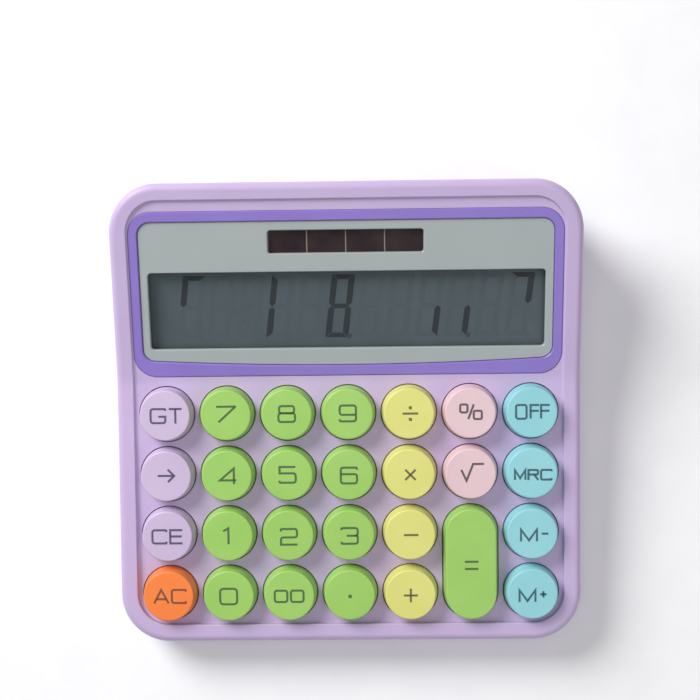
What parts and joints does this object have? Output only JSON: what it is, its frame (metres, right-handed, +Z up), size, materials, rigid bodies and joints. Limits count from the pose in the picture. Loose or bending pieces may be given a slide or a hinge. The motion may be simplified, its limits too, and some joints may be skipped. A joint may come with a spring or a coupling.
{
  "type": "desk calculator",
  "caption": "Wedge-shaped desk calculator with round pastel keys, a tall equals key and a wide inclined display in a purple frame.",
  "frame": {"origin": "under the middle of the calculator, on the plane of its four rubber feet", "axes": "+Z up, +Y to the back edge behind the display, +X to the right for the person at the keys"},
  "size_m": [0.153, 0.15, 0.0408],
  "materials": {
    "case_lilac": "satin",
    "frame_purple": "gloss",
    "panel_grey": "satin",
    "key_green": "satin",
    "key_yellow": "satin",
    "key_pink": "satin",
    "key_teal": "satin",
    "key_lilac": "satin",
    "key_orange": "satin",
    "lcd_glass": "polished",
    "polariser_film": "gloss",
    "reflector_film": "satin",
    "holder_white": "satin",
    "foam_black": "matte",
    "ribbon_film": "gloss",
    "solar_glass": "polished",
    "wire_red": "satin",
    "wire_black": "satin",
    "mat_rubber": "matte",
    "board_laminate": "satin",
    "epoxy_black": "gloss",
    "capacitor_sleeve": "satin",
    "screw_steel": "satin",
    "contact_steel": "polished",
    "battery_jacket": "satin",
    "foot_rubber": "matte",
    "clear_lens": "polished"
  },
  "bodies": {
    "calculator": {"upper_case": "case_lilac", "lower_case": "case_lilac", "display_surround": "frame_purple", "display_bezel": "panel_grey", "display_window": "clear_lens", "display_gasket": "foam_black", "lcd_front_polariser": "polariser_film", "lcd_front_glass": "lcd_glass", "lcd_rear_glass": "lcd_glass", "lcd_reflector": "reflector_film", "lcd_holder": "holder_white", "lcd_holder_screws": "screw_steel", "lcd_ribbon": "ribbon_film", "solar_cell": "solar_glass", "solar_wire_red": "wire_red", "solar_wire_black": "wire_black", "keypad_mat": "mat_rubber", "circuit_board": "board_laminate", "board_screws": "screw_steel", "chip_blob": "epoxy_black", "capacitor": "capacitor_sleeve", "case_screws": "screw_steel", "battery": "battery_jacket", "battery_spring": "contact_steel", "battery_plus_contact": "contact_steel", "battery_wire_red": "wire_red", "battery_wire_black": "wire_black", "front_left_foot": "foot_rubber", "front_right_foot": "foot_rubber", "rear_left_foot": "foot_rubber", "rear_right_foot": "foot_rubber"},
    "battery door": {"battery_door": "case_lilac"},
    "key grand total": {"key_grand_total": "key_lilac"},
    "key arrow": {"key_arrow": "key_lilac"},
    "key clear entry": {"key_clear_entry": "key_lilac"},
    "key all clear": {"key_all_clear": "key_orange"},
    "key seven": {"key_seven": "key_green"},
    "key four": {"key_four": "key_green"},
    "key one": {"key_one": "key_green"},
    "key zero": {"key_zero": "key_green"},
    "key eight": {"key_eight": "key_green"},
    "key five": {"key_five": "key_green"},
    "key two": {"key_two": "key_green"},
    "key double zero": {"key_double_zero": "key_green"},
    "key nine": {"key_nine": "key_green"},
    "key six": {"key_six": "key_green"},
    "key three": {"key_three": "key_green"},
    "key point": {"key_point": "key_green"},
    "key divide": {"key_divide": "key_yellow"},
    "key multiply": {"key_multiply": "key_yellow"},
    "key minus": {"key_minus": "key_yellow"},
    "key plus": {"key_plus": "key_yellow"},
    "key percent": {"key_percent": "key_pink"},
    "key square root": {"key_square_root": "key_pink"},
    "key equals": {"key_equals": "key_green"},
    "key off": {"key_off": "key_teal"},
    "key memory recall": {"key_memory_recall": "key_teal"},
    "key memory minus": {"key_memory_minus": "key_teal"},
    "key memory plus": {"key_memory_plus": "key_teal"}
  },
  "joints": [
    {"name": "press grand total", "type": "slide", "parent": "calculator", "child": "key grand total", "axis": [0, 0.1045, -0.9945], "range_m": [0, 0.0018], "stiffness_N_per_m": 220, "springref_m": -0.0009, "deforming": ["keypad_mat"]},
    {"name": "press arrow", "type": "slide", "parent": "calculator", "child": "key arrow", "axis": [0, 0.1045, -0.9945], "range_m": [0, 0.0018], "stiffness_N_per_m": 220, "springref_m": -0.0009, "deforming": ["keypad_mat"]},
    {"name": "press clear entry", "type": "slide", "parent": "calculator", "child": "key clear entry", "axis": [0, 0.1045, -0.9945], "range_m": [0, 0.0018], "stiffness_N_per_m": 220, "springref_m": -0.0009, "deforming": ["keypad_mat"]},
    {"name": "press all clear", "type": "slide", "parent": "calculator", "child": "key all clear", "axis": [0, 0.1045, -0.9945], "range_m": [0, 0.0018], "stiffness_N_per_m": 220, "springref_m": -0.0009, "deforming": ["keypad_mat"]},
    {"name": "press seven", "type": "slide", "parent": "calculator", "child": "key seven", "axis": [0, 0.1045, -0.9945], "range_m": [0, 0.0018], "stiffness_N_per_m": 220, "springref_m": -0.0009, "deforming": ["keypad_mat"]},
    {"name": "press four", "type": "slide", "parent": "calculator", "child": "key four", "axis": [0, 0.1045, -0.9945], "range_m": [0, 0.0018], "stiffness_N_per_m": 220, "springref_m": -0.0009, "deforming": ["keypad_mat"]},
    {"name": "press one", "type": "slide", "parent": "calculator", "child": "key one", "axis": [0, 0.1045, -0.9945], "range_m": [0, 0.0018], "stiffness_N_per_m": 220, "springref_m": -0.0009, "deforming": ["keypad_mat"]},
    {"name": "press zero", "type": "slide", "parent": "calculator", "child": "key zero", "axis": [0, 0.1045, -0.9945], "range_m": [0, 0.0018], "stiffness_N_per_m": 220, "springref_m": -0.0009, "deforming": ["keypad_mat"]},
    {"name": "press eight", "type": "slide", "parent": "calculator", "child": "key eight", "axis": [0, 0.1045, -0.9945], "range_m": [0, 0.0018], "stiffness_N_per_m": 220, "springref_m": -0.0009, "deforming": ["keypad_mat"]},
    {"name": "press five", "type": "slide", "parent": "calculator", "child": "key five", "axis": [0, 0.1045, -0.9945], "range_m": [0, 0.0018], "stiffness_N_per_m": 220, "springref_m": -0.0009, "deforming": ["keypad_mat"]},
    {"name": "press two", "type": "slide", "parent": "calculator", "child": "key two", "axis": [0, 0.1045, -0.9945], "range_m": [0, 0.0018], "stiffness_N_per_m": 220, "springref_m": -0.0009, "deforming": ["keypad_mat"]},
    {"name": "press double zero", "type": "slide", "parent": "calculator", "child": "key double zero", "axis": [0, 0.1045, -0.9945], "range_m": [0, 0.0018], "stiffness_N_per_m": 220, "springref_m": -0.0009, "deforming": ["keypad_mat"]},
    {"name": "press nine", "type": "slide", "parent": "calculator", "child": "key nine", "axis": [0, 0.1045, -0.9945], "range_m": [0, 0.0018], "stiffness_N_per_m": 220, "springref_m": -0.0009, "deforming": ["keypad_mat"]},
    {"name": "press six", "type": "slide", "parent": "calculator", "child": "key six", "axis": [0, 0.1045, -0.9945], "range_m": [0, 0.0018], "stiffness_N_per_m": 220, "springref_m": -0.0009, "deforming": ["keypad_mat"]},
    {"name": "press three", "type": "slide", "parent": "calculator", "child": "key three", "axis": [0, 0.1045, -0.9945], "range_m": [0, 0.0018], "stiffness_N_per_m": 220, "springref_m": -0.0009, "deforming": ["keypad_mat"]},
    {"name": "press point", "type": "slide", "parent": "calculator", "child": "key point", "axis": [0, 0.1045, -0.9945], "range_m": [0, 0.0018], "stiffness_N_per_m": 220, "springref_m": -0.0009, "deforming": ["keypad_mat"]},
    {"name": "press divide", "type": "slide", "parent": "calculator", "child": "key divide", "axis": [0, 0.1045, -0.9945], "range_m": [0, 0.0018], "stiffness_N_per_m": 220, "springref_m": -0.0009, "deforming": ["keypad_mat"]},
    {"name": "press multiply", "type": "slide", "parent": "calculator", "child": "key multiply", "axis": [0, 0.1045, -0.9945], "range_m": [0, 0.0018], "stiffness_N_per_m": 220, "springref_m": -0.0009, "deforming": ["keypad_mat"]},
    {"name": "press minus", "type": "slide", "parent": "calculator", "child": "key minus", "axis": [0, 0.1045, -0.9945], "range_m": [0, 0.0018], "stiffness_N_per_m": 220, "springref_m": -0.0009, "deforming": ["keypad_mat"]},
    {"name": "press plus", "type": "slide", "parent": "calculator", "child": "key plus", "axis": [0, 0.1045, -0.9945], "range_m": [0, 0.0018], "stiffness_N_per_m": 220, "springref_m": -0.0009, "deforming": ["keypad_mat"]},
    {"name": "press percent", "type": "slide", "parent": "calculator", "child": "key percent", "axis": [0, 0.1045, -0.9945], "range_m": [0, 0.0018], "stiffness_N_per_m": 220, "springref_m": -0.0009, "deforming": ["keypad_mat"]},
    {"name": "press square root", "type": "slide", "parent": "calculator", "child": "key square root", "axis": [0, 0.1045, -0.9945], "range_m": [0, 0.0018], "stiffness_N_per_m": 220, "springref_m": -0.0009, "deforming": ["keypad_mat"]},
    {"name": "press equals", "type": "slide", "parent": "calculator", "child": "key equals", "axis": [0, 0.1045, -0.9945], "range_m": [0, 0.0018], "stiffness_N_per_m": 400, "springref_m": -0.0009, "deforming": ["keypad_mat"]},
    {"name": "press off", "type": "slide", "parent": "calculator", "child": "key off", "axis": [0, 0.1045, -0.9945], "range_m": [0, 0.0018], "stiffness_N_per_m": 220, "springref_m": -0.0009, "deforming": ["keypad_mat"]},
    {"name": "press memory recall", "type": "slide", "parent": "calculator", "child": "key memory recall", "axis": [0, 0.1045, -0.9945], "range_m": [0, 0.0018], "stiffness_N_per_m": 220, "springref_m": -0.0009, "deforming": ["keypad_mat"]},
    {"name": "press memory minus", "type": "slide", "parent": "calculator", "child": "key memory minus", "axis": [0, 0.1045, -0.9945], "range_m": [0, 0.0018], "stiffness_N_per_m": 220, "springref_m": -0.0009, "deforming": ["keypad_mat"]},
    {"name": "press memory plus", "type": "slide", "parent": "calculator", "child": "key memory plus", "axis": [0, 0.1045, -0.9945], "range_m": [0, 0.0018], "stiffness_N_per_m": 220, "springref_m": -0.0009, "deforming": ["keypad_mat"]},
    {"name": "battery door slide", "type": "slide", "parent": "calculator", "child": "battery door", "axis": [0, 1, 0], "range_m": [0, 0.032]}
  ]
}
